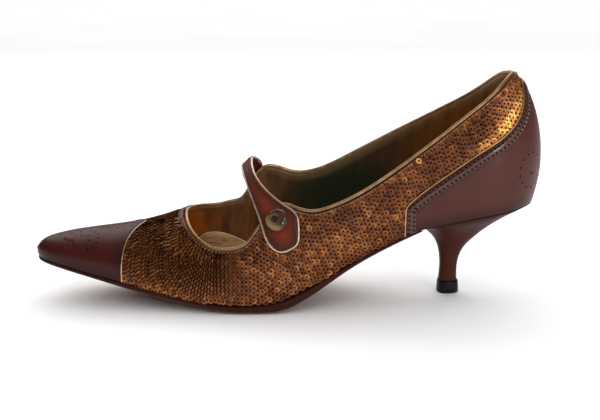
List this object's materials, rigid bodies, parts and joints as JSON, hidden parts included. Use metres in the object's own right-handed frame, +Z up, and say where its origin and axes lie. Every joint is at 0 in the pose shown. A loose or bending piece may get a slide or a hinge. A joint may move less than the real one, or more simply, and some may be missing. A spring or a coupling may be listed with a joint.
{
  "type": "high heel shoe",
  "caption": "Pointed bar-strap pump for the left foot: hollow sequinned upper, leather toe cap and heel counter, buttoned strap, leather sole and slender kitten heel.",
  "frame": {"origin": "on the floor, under the middle of the shoe's footprint", "axes": "+X from toe to heel, -Y the lateral side with the button, +Z up"},
  "size_m": [0.261, 0.079, 0.1173],
  "materials": {
    "outsole": "burnished edge",
    "insole": "pale gold, worn",
    "upper": "bronze sequins on cloth",
    "toe_cap": "polished",
    "heel_counter": "polished",
    "strap": "polished",
    "collar_binding": "bronze metallic",
    "strap_piping": "pale bronze metallic",
    "button": "polished horn",
    "heel": "polished",
    "heel_tip": "black"
  },
  "bodies": {
    "root": {"outsole": "outsole", "insole": "insole", "upper": "upper", "toe_cap": "toe_cap", "heel_counter": "heel_counter", "strap": "strap", "collar_binding": "collar_binding", "strap_piping": "strap_piping", "button": "button", "heel": "heel", "heel_tip": "heel_tip"}
  },
  "joints": []
}
